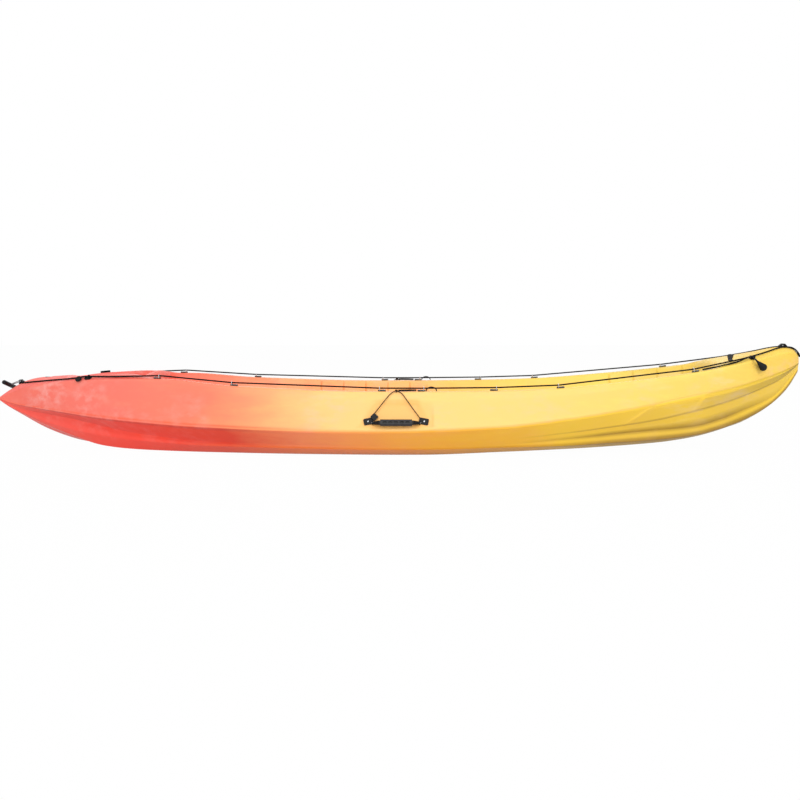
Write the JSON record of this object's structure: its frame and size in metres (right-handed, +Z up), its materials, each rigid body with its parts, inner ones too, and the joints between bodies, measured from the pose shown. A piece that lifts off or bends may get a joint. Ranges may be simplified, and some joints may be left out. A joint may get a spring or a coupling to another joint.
{
  "type": "tandem sit-on-top kayak",
  "caption": "Sit-on-top kayak for two paddlers: moulded hull with seat wells, stepped footwells, deck lines, carrying handles, end toggles and a screw-out drain plug.",
  "frame": {"origin": "on the ground under the middle of the boat, where the flat bottom stands", "axes": "+X towards the bow, +Y to port, +Z up"},
  "size_m": [3.7605, 0.8916, 0.4789],
  "materials": {
    "hull_polyethylene": "satin",
    "black_moulding": "satin",
    "stainless_steel": "satin",
    "black_cord": "matte",
    "bungee_cord": "matte",
    "grey_cord": "matte",
    "rubber_seal": "matte"
  },
  "bodies": {
    "hull": {"hull_shell": "hull_polyethylene", "guide_bases_starboard": "black_moulding", "guide_bases_port": "black_moulding", "guide_loops_starboard": "stainless_steel", "guide_loops_port": "stainless_steel", "guide_screws_starboard": "stainless_steel", "guide_screws_port": "stainless_steel", "handle_feet_starboard": "black_moulding", "handle_feet_port": "black_moulding", "handle_pins_starboard": "stainless_steel", "handle_pins_port": "stainless_steel", "handle_screws_starboard": "stainless_steel", "handle_screws_port": "stainless_steel", "paddle_knob_starboard": "black_moulding", "paddle_knob_port": "black_moulding", "paddle_bungee_starboard": "bungee_cord", "paddle_bungee_port": "bungee_cord", "keeper_cord_starboard": "black_cord", "keeper_cord_port": "black_cord", "paddle_hook_starboard": "black_moulding", "paddle_hook_port": "black_moulding", "deck_line_starboard": "black_cord", "deck_line_port": "black_cord", "stern_fairlead": "black_moulding", "stern_pin": "stainless_steel", "stern_hook": "black_moulding", "stern_knob": "black_moulding", "stern_bracket": "black_moulding", "bow_fairlead": "black_moulding", "bow_strap": "black_cord", "bow_strap_anchors": "black_moulding", "bow_toggle_anchor": "black_moulding", "bow_pin": "stainless_steel", "bow_toggle_cord": "black_cord", "drain_socket": "black_moulding"},
    "starboard_handle": {"handle_straps_starboard": "black_moulding", "handle_grip_starboard": "black_moulding"},
    "port_handle": {"handle_straps_port": "black_moulding", "handle_grip_port": "black_moulding"},
    "stern_toggle": {"stern_toggle": "black_moulding", "stern_toggle_cord": "grey_cord"},
    "bow_toggle": {"bow_toggle": "black_moulding"},
    "drain_seal": {"drain_gasket": "rubber_seal"},
    "drain_plug": {"drain_plug": "black_moulding"}
  },
  "joints": [
    {"name": "starboard_handle_swing", "type": "hinge", "parent": "hull", "child": "starboard_handle", "pos_m": [-0.007, -0.41677, 0.15424], "axis": [-1, 0, 0], "range_deg": [-50, 60]},
    {"name": "port_handle_swing", "type": "hinge", "parent": "hull", "child": "port_handle", "pos_m": [-0.007, 0.41677, 0.15424], "axis": [1, 0, 0], "range_deg": [-50, 60]},
    {"name": "stern_toggle_swing", "type": "hinge", "parent": "hull", "child": "stern_toggle", "pos_m": [-1.77028, 0, 0.30385], "axis": [0, 1, 0], "range_deg": [0, 100]},
    {"name": "bow_toggle_swing", "type": "hinge", "parent": "hull", "child": "bow_toggle", "pos_m": [1.60559, -0.12705, 0.42112], "axis": [-0.9991, 0, -0.0432], "range_deg": [0, 100]},
    {"name": "drain_plug_lift", "type": "slide", "parent": "hull", "child": "drain_seal", "axis": [0, 0, 1], "range_m": [0, 0.018]},
    {"name": "drain_plug_turn", "type": "hinge", "parent": "drain_seal", "child": "drain_plug", "pos_m": [-1.64, 0, 0.32], "axis": [0, 0, 1], "range_deg": [0, 1620]}
  ],
  "couplings": [
    {"joint": "drain_plug_turn", "follows": "drain_plug_lift", "rad_per_m": 1570.8}
  ]
}
